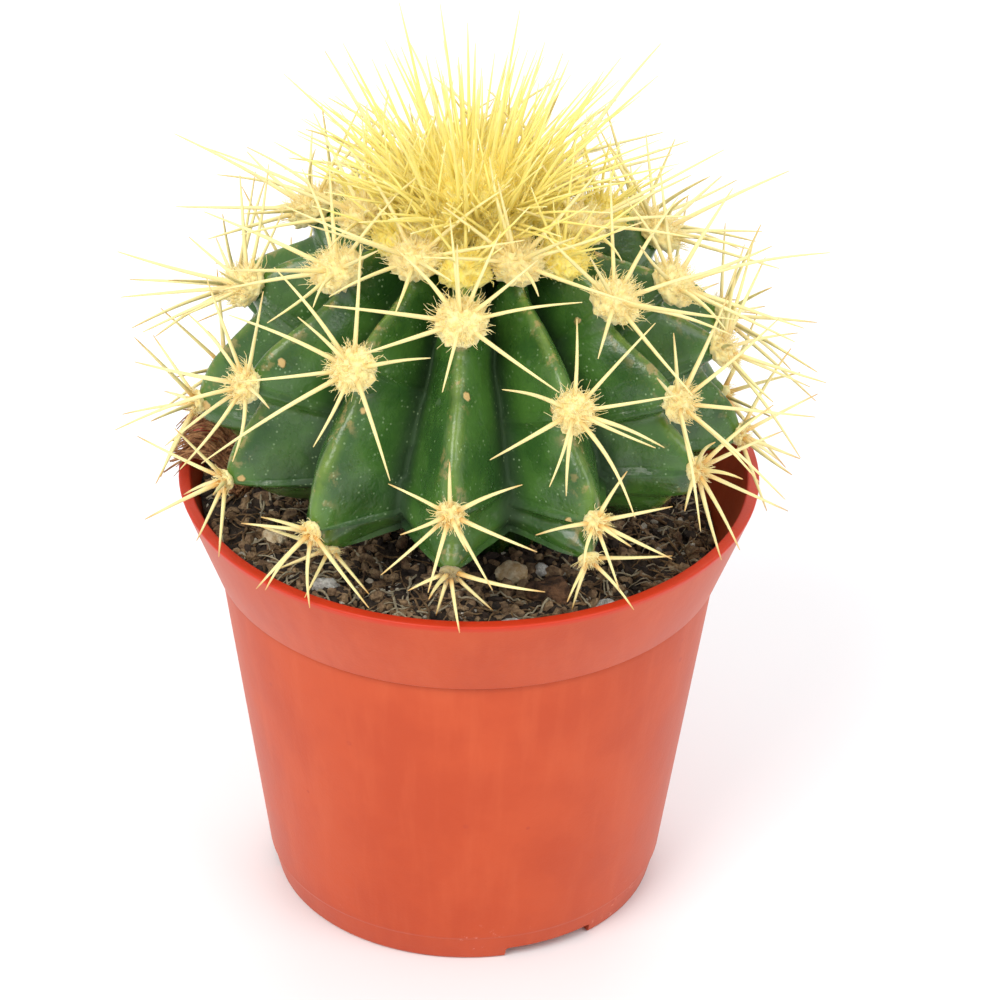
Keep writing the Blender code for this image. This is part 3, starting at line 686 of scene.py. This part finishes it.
def makeStem():
    lowest = -math.acos((barrel["collarRadius"] / barrel["radius"]) ** (barrel["fullness"] / 2))
    rows = barrel["rows"]
    lifts = [lowest + (math.pi / 2 - lowest) * row / (rows - 1) for row in range(rows)]
    outline = [(0.0, barrel["bottom"]), (barrel["collarRadius"] * 0.9, barrel["bottom"])]
    outline += [barrelPoint(lift, 1.0) for lift in lifts[:-1]] + [(0.0, barrelPoint(math.pi / 2, 1.0)[1])]
    shape = turnedShape(outline, barrel["columns"])
    crest, tip, deep = [], [], []
    middle = Vector((0, 0, barrel["middle"]))
    for vertex in shape.verts:
        place = vertex.co.copy()
        straight = math.atan2(place.x, -place.y)
        lift = max(liftOf(place), lowest)
        turn = straight + swayAt(straight, lift)
        offset, phase, share = ribPlace(turn, lift)
        if place.z > barrel["bottom"] + 0.1 * mm:
            vertex.co = polar(turn, *barrelPoint(lift, share))
            wrinkle = noise.fractal(vertex.co / barrel["wrinkleSize"], 0.7, 2.0, 3) * barrel["wrinkleDepth"]
            dent = noise.noise(vertex.co / barrel["dentSize"]) * barrel["dentDepth"]
            dent *= 1 - abs(2 * offset - 1)
            vertex.co += (vertex.co - middle).normalized() * (wrinkle + dent - barrel["sunk"])
        crest.append(1 - offset)
        # the lower part of each tubercle's crest, which takes the painted light
        tip.append(ramp(phase, 0.45, 0.5) * (1 - offset))
        # how far into a valley a point lies; it masks the painted valley shade
        deep.append(ramp(offset, 0.45, 0.55))
    for vertex in shape.verts:
        if vertex.co.z < barrel["bottom"] + 0.1 * mm:
            vertex.co.z = barrel["bottom"]
    piece = finish("stemBody", shape, skinPaint(), slot="stem", crest=crest, tip=tip, deep=deep)
    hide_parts("stem")


makeStem()
print("stem made")

spineLook = {
    "steps": 12,
    "thick": (0.36 * mm, 0.37 * mm),    # on old areoles and on young ones
    "thin": 0.06 * mm,
    "bow": 0.045,
    "inset": 0.35,
    "shortest": 5.5 * mm,
    "clear": 1.55,
    "root": (0.72, 0.36, 0.07),
    "shaft": (0.95, 0.82, 0.38),
    "end": (0.62, 0.33, 0.09),
}
woolLook = {
    "padRadius": (2.046 * mm, 3.96 * mm),
    "youthRange": (70 * mm, 40 * mm),   # the height where pads start to be young, and its span
    "hairs": (120, 300),
    "length": (1.1 * mm, 3.2 * mm),
    "size": (0.74, 1.0),
    "thick": 0.065 * mm,
    "thin": 0.03 * mm,
    "spread": 0.86,
    "dome": 0.35,
    "core": (0.94, 0.94, 0.56),
    "coreLumps": 0.16,
    "soiled": "areole_01_3",            # this one touches the mix
    "light": (0.98, 0.86, 0.42),
    "dark": (0.94, 0.72, 0.27),
    "soil": (0.075, 0.035, 0.018),
}


def spinePaint(name, root, shaft, end):
    paint = Paint(name, roughness=0.42)
    paint.set("Subsurface Weight", 0.12)
    paint.set("Subsurface Radius", (0.5, 0.35, 0.1))
    paint.set("Subsurface Scale", 0.6 * mm)
    along = paint.attribute("along")
    age = paint.attribute("age")
    color = paint.mix(paint.noise(5 * mm, 2).between(0.3, 0.7), shaft, tuple(0.9 * part for part in shaft))
    color = paint.mix((1 - along.between(0.0, 0.3)) * (0.25 + 0.75 * age), color, root)
    color = paint.mix(along.between(0.72, 1.0) * (0.2 + 0.7 * age), color, end)
    paint.set("Base Color", color)
    paint.bump(paint.noise(0.5 * mm, 2), 0.05 * mm, 0.4)
    return paint.material


def woolPaint(name, light, dark, soil):
    paint = Paint(name, roughness=0.9)
    paint.set("Sheen Weight", 0.35)
    paint.set("Subsurface Weight", 0.15)
    paint.set("Subsurface Radius", (0.8, 0.6, 0.3))
    paint.set("Subsurface Scale", 1.0 * mm)
    age = paint.attribute("age")
    color = paint.mix(paint.noise(0.9 * mm, 4).between(0.35, 0.65), dark, light)
    color = paint.mix(age.between(0.75, 1.0) * 0.65, color, soil)
    paint.set("Base Color", color)
    paint.bump(paint.noise(0.3 * mm, 3), 0.15 * mm, 0.7)
    return paint.material


spineMaterial = spinePaint("spineSkin", spineLook["root"], spineLook["shaft"], spineLook["end"])
woolMaterial = woolPaint("areoleWool", woolLook["light"], woolLook["dark"], woolLook["soil"])


def padTurn(areole):
    straight = ribTurn(areole["rib"])
    return straight + swayAt(straight, areole["lift"])


def padFrame(areole):
    # the pad's middle, its directions out of the stem, sideways and up the rib, its radius, and its youth
    turn, lift = padTurn(areole), areole["lift"]
    middle = stemPoint(turn, lift)
    side = Vector((math.cos(turn), math.sin(turn), 0.0))
    above = Vector(polar(turn, *barrelPoint(lift + 0.02, 1.0)))
    below = Vector(polar(turn, *barrelPoint(lift - 0.02, 1.0)))
    up = (above - below).normalized()
    outward = side.cross(up).normalized()
    if outward.dot(polar(turn, 1.0, 0.0)) < 0:
        outward = -outward
    youth = ramp(middle.z, *woolLook["youthRange"])
    return middle, outward, side, up, between(woolLook["padRadius"], youth), youth


def spineCourses(root, tips, seed, youth, inset):
    courses = []
    thick = between(spineLook["thick"], youth)
    for tip in tips:
        direction = (tip - root).normalized()
        start = root + direction * inset
        aside = direction.cross(Vector((0, 0, 1))).cross(direction).normalized()
        aside = Matrix.Rotation(seed.uniform(-1.5, 1.5), 3, direction) @ aside
        bow = spineLook["bow"] * seed.uniform(-0.4, 1.2)
        courses.append(bent(start, tip, bow, spineLook["steps"], thick * seed.uniform(0.85, 1.1),
                            spineLook["thin"], aside))
    return courses


def woolCourses(seed, middle, outward, side, up, radius, youth):
    courses = []
    radius *= between(woolLook["size"], youth)
    count = round(between(woolLook["hairs"], youth))
    for number in range(count):
        share = math.sqrt((number + 0.5) / count)
        turn = number * goldenTurn
        flat = side * math.sin(turn) + up * math.cos(turn)
        root = middle + flat * radius * woolLook["spread"] * share
        root += outward * woolLook["dome"] * radius * (1 - share ** 2)
        lean = outward * seed.uniform(0.5, 1.1) + flat * share * seed.uniform(0.3, 1.3)
        lean += Vector([seed.uniform(-0.6, 0.6) for axis in range(3)])
        length = seed.uniform(*woolLook["length"]) * (0.5 + 0.5 * youth)
        tip = root + lean.normalized() * length
        aside = Vector([seed.uniform(-1, 1) for axis in range(3)]).normalized()
        sag = seed.uniform(0.1, 0.3)
        courses.append(bent(root, tip, sag, 3, woolLook["thick"], woolLook["thin"], aside))
    return courses


def padCore(shape, middle, outward, side, up, radius, youth):
    radius *= between(woolLook["size"], youth)
    turn = Matrix((side, up, outward)).transposed().to_4x4()
    size = Matrix.Diagonal([radius * part for part in woolLook["core"]] + [1.0])
    made = bmesh.ops.create_icosphere(shape, subdivisions=4, radius=1.0,
                                      matrix=Matrix.Translation(middle) @ turn @ size)["verts"]
    for vertex in made:
        lump = noise.fractal(vertex.co / (0.9 * mm), 0.6, 2.0, 3) * woolLook["coreLumps"]
        vertex.co += (vertex.co - middle).normalized() * lump * min(radius, 4 * mm)


def woolShape(hairs, *pads):
    shape = strands(hairs)
    for pad in pads:
        padCore(shape, *pad)
    return shape


def makeAreole(name, areole):
    seed = random.Random(name)
    pad = padFrame(areole)
    middle, radius, youth = pad[0], pad[4], pad[5]
    nearest = max(spineLook["clear"] * radius, spineLook["shortest"])
    tips = [point for point in areole["points"] if (point - middle).length > nearest]
    courses = spineCourses(middle, tips, seed, youth, radius * spineLook["inset"])
    hairs = woolCourses(seed, *pad)
    age = 1 - youth
    place = name.removeprefix("areole")
    spines = finish("spines" + place, strands(courses, 2), spineMaterial, slot="areole", age=age)
    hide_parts(name)
    soiled = 1.0 if name == woolLook["soiled"] else age * 0.8
    finish("wool" + place, woolShape(hairs, pad), woolMaterial, slot="areole", age=soiled)


for name, areole in areoles.items():
    makeAreole(name, areole)
print("areoles made")

crownLook = {
    "seat": math.radians(88.0),         # how high up the barrel it sits
    "radius": 10.5 * mm,
    "dome": 4.5 * mm,
    "hairs": 1600,
    "hairLength": (2.0 * mm, 6.5 * mm),
    "hairThick": 0.075 * mm,
    "longSpine": 12.5 * mm,
    "thick": 0.36 * mm,
    "extraSpines": 170,
    "extraLength": (11 * mm, 23 * mm),
    "extraThick": 0.28 * mm,
    "youngStep": 0.27,
    "highestYoung": 1.32,
    "youngSpines": 8,
    "youngLength": (9 * mm, 17 * mm),
    "youngThick": 0.30 * mm,
    "thin": 0.05 * mm,
    "root": (0.98, 0.72, 0.06),
    "shaft": (0.99, 0.86, 0.28),
    "end": (0.98, 0.91, 0.56),
    "woolLight": (1.0, 0.88, 0.30),
    "woolDark": (0.99, 0.77, 0.13),
    "woolSoil": (0.2, 0.1, 0.03),
}


def youngPad(rib):                      # the newest areole of a rib, just above its highest one
    lift = min(ribLifts[rib][0] + crownLook["youngStep"], crownLook["highestYoung"])
    return padFrame({"rib": rib, "lift": lift})


def youngSpines(pad, seed, highest):
    middle, outward, side, up = pad[:4]
    courses = []
    for number in range(crownLook["youngSpines"]):
        turn = (number + seed.uniform(-0.3, 0.3)) * math.tau / crownLook["youngSpines"]
        flat = side * math.sin(turn) + up * math.cos(turn)
        direction = (flat * seed.uniform(0.5, 1.0) + outward).normalized()
        tip = middle + direction * seed.uniform(*crownLook["youngLength"])
        tip.z = min(tip.z, highest - 1 * mm)
        sag = 0.04 * seed.uniform(-1, 1)
        courses.append(bent(middle, tip, sag, spineLook["steps"], crownLook["youngThick"],
                            crownLook["thin"], up))
    return courses


def crownSpines(seed, middle, highest):
    # the CAD part's long spines, then the many shorter ones between them
    courses = []
    for tip in mergedPoints("crown"):
        if (tip - middle).length < crownLook["longSpine"]:
            continue
        flat = Vector((tip.x, tip.y, 0.0))
        root = middle + flat.normalized() * min(flat.length * 0.45, crownLook["radius"] * 0.8)
        aside = flat.normalized() if flat.length > 0.1 * mm else Vector((1, 0, 0))
        courses.append(bent(root, tip, -0.05 * seed.random(), spineLook["steps"], crownLook["thick"],
                            spineLook["thin"], aside))
    for number in range(crownLook["extraSpines"]):
        share = math.sqrt((number + 0.5) / crownLook["extraSpines"])
        turn = number * goldenTurn + seed.uniform(-0.3, 0.3)
        lean = math.radians(5 + 62 * share + seed.uniform(-14, 14))
        root = middle + polar(turn, crownLook["radius"] * 0.85 * share, 0.5 * mm)
        way = polar(turn + seed.uniform(-0.3, 0.3), math.sin(lean), math.cos(lean))
        tip = root + way * seed.uniform(*crownLook["extraLength"])
        tip.z = min(tip.z, highest - 1 * mm)
        courses.append(bent(root, tip, -0.07 * seed.random(), spineLook["steps"], crownLook["extraThick"],
                            crownLook["thin"], polar(turn, 1.0, 0.0)))
    return courses


def crownHairs(seed, middle):
    hairs = []
    for number in range(crownLook["hairs"]):
        share = math.sqrt((number + 0.5) / crownLook["hairs"])
        turn = number * goldenTurn
        rise = crownLook["dome"] * math.sqrt(max(1 - share ** 2, 0)) * 0.8
        root = middle + polar(turn, crownLook["radius"] * share, rise)
        lean = polar(turn, share * 0.9, 1.0) + Vector([seed.uniform(-0.5, 0.5) for axis in range(3)])
        tip = root + lean.normalized() * seed.uniform(*crownLook["hairLength"])
        hairs.append(bent(root, tip, 0.15, 3, crownLook["hairThick"], woolLook["thin"],
                          polar(turn + 1.5, 1.0, 0.0)))
    return hairs


def makeCrown():
    seed = random.Random(21)
    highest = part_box("crown")[1].z
    middle = Vector((0, 0, barrelPoint(crownLook["seat"], 1.0)[1]))
    courses = crownSpines(seed, middle, highest)
    hairs = crownHairs(seed, middle)
    cores = [(middle, Vector((0, 0, 1)), Vector((1, 0, 0)), Vector((0, 1, 0)), crownLook["radius"], 1.0)]
    for rib in range(barrel["ribs"]):
        pad = youngPad(rib)
        cores.append(pad)
        hairs += woolCourses(seed, *pad)
        courses += youngSpines(pad, seed, highest)
    paint = spinePaint("crownSpineSkin", crownLook["root"], crownLook["shaft"], crownLook["end"])
    spines = finish("crownSpines", strands(courses, 2), paint, slot="crown", age=0.35)
    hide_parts("crown")
    paint = woolPaint("crownWool", crownLook["woolLight"], crownLook["woolDark"], crownLook["woolSoil"])
    finish("crownWool", woolShape(hairs, *cores), paint, slot="crown", age=0.1)


makeCrown()
print("crown made")

lumpPaints = {
    "stone": earthPaint("stone", (0.66, 0.45, 0.22), (0.95, 0.82, 0.58), 1.4 * mm),
    "perlite": earthPaint("perlite", (0.40, 0.38, 0.34), (0.86, 0.85, 0.80), 1.0 * mm),
    "bark": earthPaint("bark", (0.045, 0.022, 0.012), (0.23, 0.115, 0.055), 1.8 * mm),
}
lumps = {                               # paint, roughness of the shape, depth of the pits
    "tan_stone": ("stone", 0.16, 0.0),
    "grit_stone": ("stone", 0.16, 0.0),
    "grit_stone_rear": ("stone", 0.16, 0.0),
    "stone_chip": ("perlite", 0.16, 0.1),
    "perlite_front": ("perlite", 0.2, 0.5),
    "perlite_left": ("perlite", 0.2, 0.5),
    "perlite_right": ("perlite", 0.2, 0.5),
    "perlite_rear": ("perlite", 0.2, 0.5),
    "bark_chip": ("bark", 0.3, 0.2),
}


def makeLump(name, paint, rough, pits):
    # an uneven lump that fills the CAD part's box
    low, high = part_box(name)
    middle = (low + high) / 2
    seed = Vector([len(name) * 3.1, middle.x * 900, middle.y * 700])
    shape = bmesh.new()
    bmesh.ops.create_icosphere(shape, subdivisions=5, radius=1.0)
    for vertex in shape.verts:
        way = vertex.co.copy()
        bulge = noise.fractal(way * 1.1 + seed, 0.7, 2.0, 3) * rough
        facets = noise.cell(way * 1.6 + seed) * rough * 0.25
        hole = noise.voronoi(way * 3.4 + seed)[0][0]
        pit = pits * 0.35 * (1 - smooth(hole / 0.32))
        vertex.co = way * (1 + bulge + facets - pit)
    for axis in range(3):
        lowest = min(vertex.co[axis] for vertex in shape.verts)
        highest = max(vertex.co[axis] for vertex in shape.verts)
        for vertex in shape.verts:
            share = (vertex.co[axis] - lowest) / (highest - lowest)
            vertex.co[axis] = low[axis] + share * (high[axis] - low[axis])
    label = name.replace("_", " ").title().replace(" ", "")
    piece = finish(label, shape, lumpPaints[paint], slot=paint)
    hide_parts(name)


for name, settings in lumps.items():
    makeLump(name, *settings)

coirLook = {
    "fibers": 300,
    "steps": 11,
    "length": (7 * mm, 17 * mm),
    "thick": (0.10 * mm, 0.30 * mm),
    "inside": 0.97,                     # how much of the CAD clump's box the fibres fill
    "spill": 70,
    "spillReach": 5.5 * mm,
    "spillSpread": 2.5 * mm,
    "spillRise": (0.6 * mm, 3.0 * mm),
    "dark": (0.24, 0.085, 0.032),
    "light": (0.72, 0.38, 0.17),
}


def coirSpill(seed, middle, half):
    # loose ends that rise out of the clump and bend over the pot's rim
    out = Vector((middle.x, middle.y, 0)).normalized()
    upward = Vector((0, 0, 1))
    aside = out.cross(upward)
    courses = []
    for number in range(coirLook["spill"]):
        root = middle + aside * half.y * seed.uniform(-0.8, 0.8) + upward * half.z * seed.uniform(0, 0.6)
        reach = coirLook["spillReach"] * seed.uniform(0.3, 1.0)
        over = Vector((root.x, root.y, 0)).normalized() * (potShape["rimRadius"] - 1 * mm + 0.4 * reach)
        goal = over + aside * seed.gauss(0, 1) * coirLook["spillSpread"]
        goal.z = potShape["top"] + seed.uniform(*coirLook["spillRise"])
        thick = seed.uniform(*coirLook["thick"])
        sag = seed.uniform(0.1, 0.45)
        courses.append(bent(root, goal, sag, coirLook["steps"], thick, 0.4 * thick, upward))
    return courses


def makeCoir():
    seed = random.Random(3)
    low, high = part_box("coir_clump")
    middle, half = (low + high) / 2, (high - low) / 2 * coirLook["inside"]
    courses = []
    for number in range(coirLook["fibers"]):
        place = Vector([seed.gauss(0, 0.45) for axis in range(3)])
        heading = Vector([seed.gauss(0, 1) * half[axis] for axis in range(3)]).normalized()
        turning = Vector([seed.gauss(0, 1) for axis in range(3)]).normalized()
        curl = seed.uniform(-0.35, 0.35)
        length = seed.uniform(*coirLook["length"])
        thick = seed.uniform(*coirLook["thick"])
        point = middle + Vector([place[axis] * half[axis] for axis in range(3)])
        course = []
        for step in range(coirLook["steps"] + 1):
            share = Vector([(point[axis] - middle[axis]) / half[axis] for axis in range(3)])
            if share.length > 0.97:
                share = share.normalized() * 0.95
                point = middle + Vector([share[axis] * half[axis] for axis in range(3)])
            course.append((point.copy(), thick * (1 - 0.045 * step)))
            heading = Matrix.Rotation(curl + seed.uniform(-0.2, 0.2), 3, turning) @ heading
            point = point + heading * length / coirLook["steps"]
        courses.append(course)
    courses += coirSpill(seed, middle, half)
    paint = earthPaint("coirFiber", coirLook["dark"], coirLook["light"], 1.5 * mm)
    piece = finish("coirClump", strands(courses, 1), paint, slot="coir")
    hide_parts("coir_clump")


makeCoir()
print("loose pieces made")

floorLook = {"size": 6.0, "color": (0.90, 0.90, 0.91, 1.0)}
lampLook = {
    "key": {"place": (-0.50, -0.70, 0.95), "size": 0.70, "power": 8.5, "color": (1.0, 0.98, 0.95)},
    "fill": {"place": (0.75, -0.60, 0.85), "size": 0.80, "power": 4.5, "color": (0.98, 0.99, 1.0)},
    "back": {"place": (0.05, 0.75, 1.00), "size": 0.90, "power": 5.0, "color": (1.0, 1.0, 1.0)},
}
worldLook = {"color": (0.98, 0.99, 1.0), "strength": 0.72}
cameraLook = {
    "place": (0.0, -0.62446, 0.44925),
    "goal": (0.004585, 0.0, 0.062624),
    "roll": 0.0172,
    "lens": 180.26,
    "sensor": 36.0,
}


def makeFloor():
    shape = bmesh.new()
    bmesh.ops.create_grid(shape, x_segments=1, y_segments=1, size=floorLook["size"])
    mesh = bpy.data.meshes.new("floor")
    shape.to_mesh(mesh)
    shape.free()
    paint = Paint("floor", roughness=0.9)
    paint.set("Base Color", floorLook["color"])
    mesh.materials.append(paint.material)
    floor = bpy.data.objects.new("floor", mesh)
    bpy.context.scene.collection.objects.link(floor)


def aimed(place, goal):
    turn = (Vector(goal) - Vector(place)).to_track_quat("-Z", "Y")
    return Matrix.Translation(place) @ turn.to_matrix().to_4x4()


def makeLights():
    for name, look in lampLook.items():
        lamp = bpy.data.lights.new(name, "AREA")
        lamp.shape = "DISK"
        lamp.size = look["size"]
        lamp.energy = look["power"]
        lamp.color = look["color"]
        holder = bpy.data.objects.new(name, lamp)
        holder.matrix_world = aimed(look["place"], (0, 0, 0.07))
        bpy.context.scene.collection.objects.link(holder)
    world = bpy.data.worlds.new("sky")
    world.use_nodes = True
    tree = world.node_tree
    sky = tree.nodes["Background"]
    sky.inputs["Color"].default_value = (*worldLook["color"], 1.0)
    sky.inputs["Strength"].default_value = worldLook["strength"]
    seen = tree.nodes.new("ShaderNodeBackground")
    seen.inputs["Color"].default_value = (1.0, 1.0, 1.0, 1.0)
    path = tree.nodes.new("ShaderNodeLightPath")
    choice = tree.nodes.new("ShaderNodeMixShader")
    tree.links.new(path.outputs["Is Camera Ray"], choice.inputs[0])
    tree.links.new(sky.outputs[0], choice.inputs[1])
    tree.links.new(seen.outputs[0], choice.inputs[2])
    tree.links.new(choice.outputs[0], tree.nodes["World Output"].inputs["Surface"])
    bpy.context.scene.world = world


def makeCamera():
    lens = bpy.data.cameras.new("camera")
    lens.lens = cameraLook["lens"]
    lens.sensor_width = cameraLook["sensor"]
    camera = bpy.data.objects.new("camera", lens)
    view = aimed(cameraLook["place"], cameraLook["goal"])
    camera.matrix_world = view @ Matrix.Rotation(cameraLook["roll"], 4, "Z")
    bpy.context.scene.collection.objects.link(camera)
    bpy.context.scene.camera = camera


makeFloor()
makeLights()
makeCamera()
bpy.context.scene.view_settings.view_transform = "Standard"
print("stage made")
